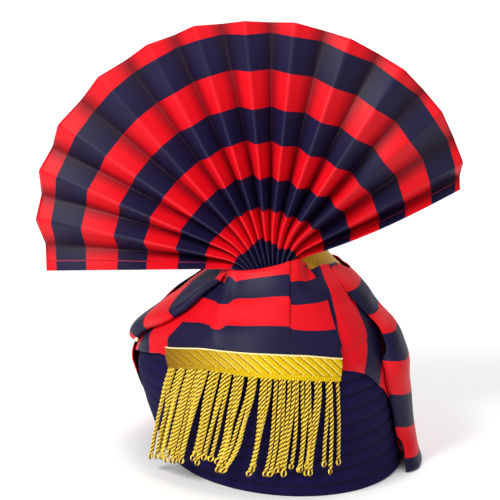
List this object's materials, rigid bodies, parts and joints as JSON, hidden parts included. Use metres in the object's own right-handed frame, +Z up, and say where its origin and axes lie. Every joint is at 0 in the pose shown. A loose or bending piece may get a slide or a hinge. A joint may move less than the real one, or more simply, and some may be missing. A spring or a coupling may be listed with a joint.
{
  "type": "tied turban pagri",
  "caption": "Ready-tied turban: a quilted cap open below, striped cloth wraps, a pleated fan at the crown, a braid with a cord fringe, and a tail over the back.",
  "frame": {"origin": "under the middle of the whole hat's box, on the surface that the rim stands on", "axes": "+Z up through the crown, -Y the way the front and the fan face, +X the side of the turned roll"},
  "size_m": [0.3136, 0.2386, 0.3224],
  "materials": {
    "cap_cotton": "quilted navy cotton",
    "gold_brocade": "gold brocade with fine ribs",
    "striped_satin": "satin in red and navy inch stripes",
    "gold_braid": "metallic woven braid",
    "gold_cord": "twisted metallic cord",
    "pearl": "warm white pearl",
    "black_pin": "black pin head"
  },
  "bodies": {
    "root": {"cap": "cap_cotton", "kullah": "gold_brocade", "turra": "striped_satin", "front_flap": "striped_satin", "left_roll": "striped_satin", "right_wrap": "striped_satin", "shamla": "striped_satin", "gold_braid": "gold_braid", "fringe": "gold_cord", "pearl_pin": "pearl", "tack_left": "black_pin", "tack_right": "black_pin"}
  },
  "joints": []
}
